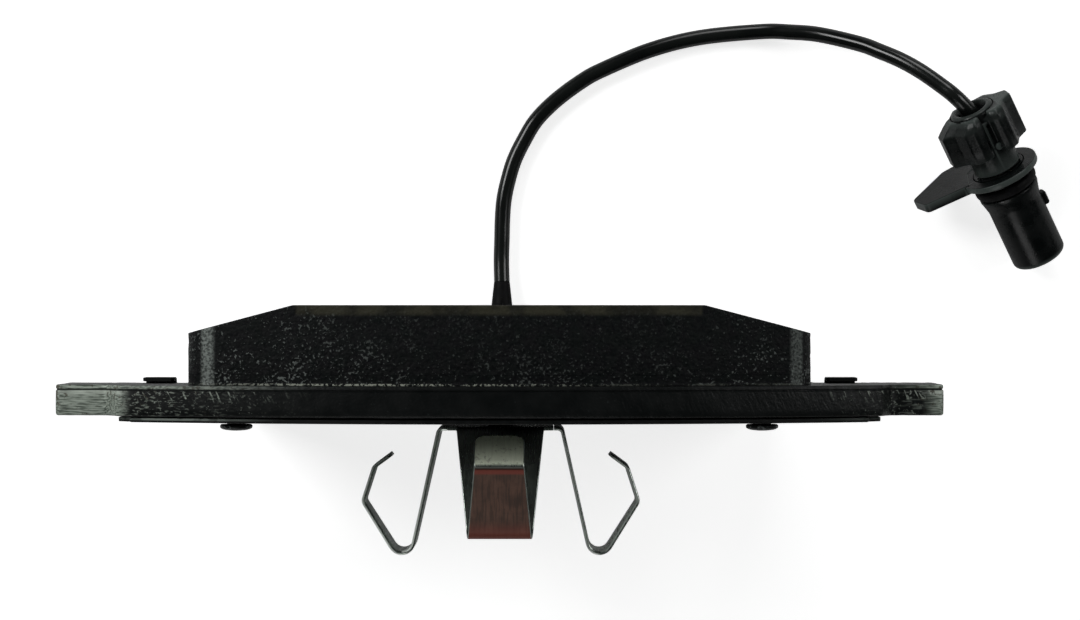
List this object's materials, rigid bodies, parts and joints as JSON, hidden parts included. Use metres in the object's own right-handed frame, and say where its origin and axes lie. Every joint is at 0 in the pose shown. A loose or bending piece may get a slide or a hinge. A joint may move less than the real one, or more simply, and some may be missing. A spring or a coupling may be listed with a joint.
{
  "type": "disc brake pad",
  "caption": "Disc brake pad with ears, chamfered friction block, damping shim, three-finger piston clip and a wired wear sensor with a round sealed plug.",
  "frame": {"origin": "centre of the wear face that meets the disc", "axes": "+Y out of the wear face towards the disc, +X along the pad, +Z radially outward"},
  "size_m": [0.1852, 0.0993, 0.0742],
  "materials": {
    "plate_paint": "black powder coat over pressed steel, scraped on the ears",
    "friction": "granular moulded friction compound, near black",
    "underlayer": "granular bond layer",
    "shim": "thin rubber-coated steel sheet",
    "rivet": "dark steel",
    "spring": "bright spring steel with brown heat tint",
    "nylon": "satin moulded nylon",
    "rubber": "matt black rubber",
    "jacket": "smooth cable jacket",
    "thermoset": "brown moulded thermoset",
    "carrier": "grey moulded nylon",
    "copper": "bare copper wire",
    "contact": "plated brass",
    "core": "core insulation"
  },
  "bodies": {
    "pad": {"backing_plate": "plate_paint", "friction_block": "friction", "underlayer": "underlayer", "damping_shim": "shim", "shim_rivet_left": "rivet", "shim_rivet_right": "rivet", "clip_base": "spring", "clip_rivet": "rivet", "sensor_body": "nylon", "sensor_tip": "thermoset", "sensor_loop": "copper", "strain_relief": "rubber", "sensor_cable": "jacket", "plug_barrel": "nylon", "plug_housing": "nylon", "plug_collar": "nylon", "cable_seal": "rubber", "contact_carrier": "carrier", "contact_left": "contact", "contact_right": "contact", "core_left": "core", "core_right": "core", "seal_ring": "rubber"},
    "left_finger": {"finger_left": "spring"},
    "right_finger": {"finger_right": "spring"},
    "top_finger": {"finger_top": "spring"},
    "lever_ring": {"lock_ring": "nylon"}
  },
  "joints": [
    {"name": "left_finger_flex", "type": "hinge", "parent": "pad", "child": "left_finger", "pos_m": [-0.00965, -0.02205, 0.0009], "axis": [0, 0, 1], "range_deg": [0, 10], "stiffness_Nm_per_rad": 3},
    {"name": "right_finger_flex", "type": "hinge", "parent": "pad", "child": "right_finger", "pos_m": [0.00965, -0.02205, 0.0009], "axis": [0, 0, -1], "range_deg": [0, 10], "stiffness_Nm_per_rad": 3},
    {"name": "top_finger_flex", "type": "hinge", "parent": "pad", "child": "top_finger", "pos_m": [0, -0.02205, 0.01055], "axis": [1, 0, 0], "range_deg": [0, 10], "stiffness_Nm_per_rad": 3},
    {"name": "lever_turn", "type": "hinge", "parent": "pad", "child": "lever_ring", "pos_m": [0.0943, 0.0262, -0.0254], "axis": [-0.4469, 0.8266, 0.342], "range_deg": [0, 60]}
  ]
}
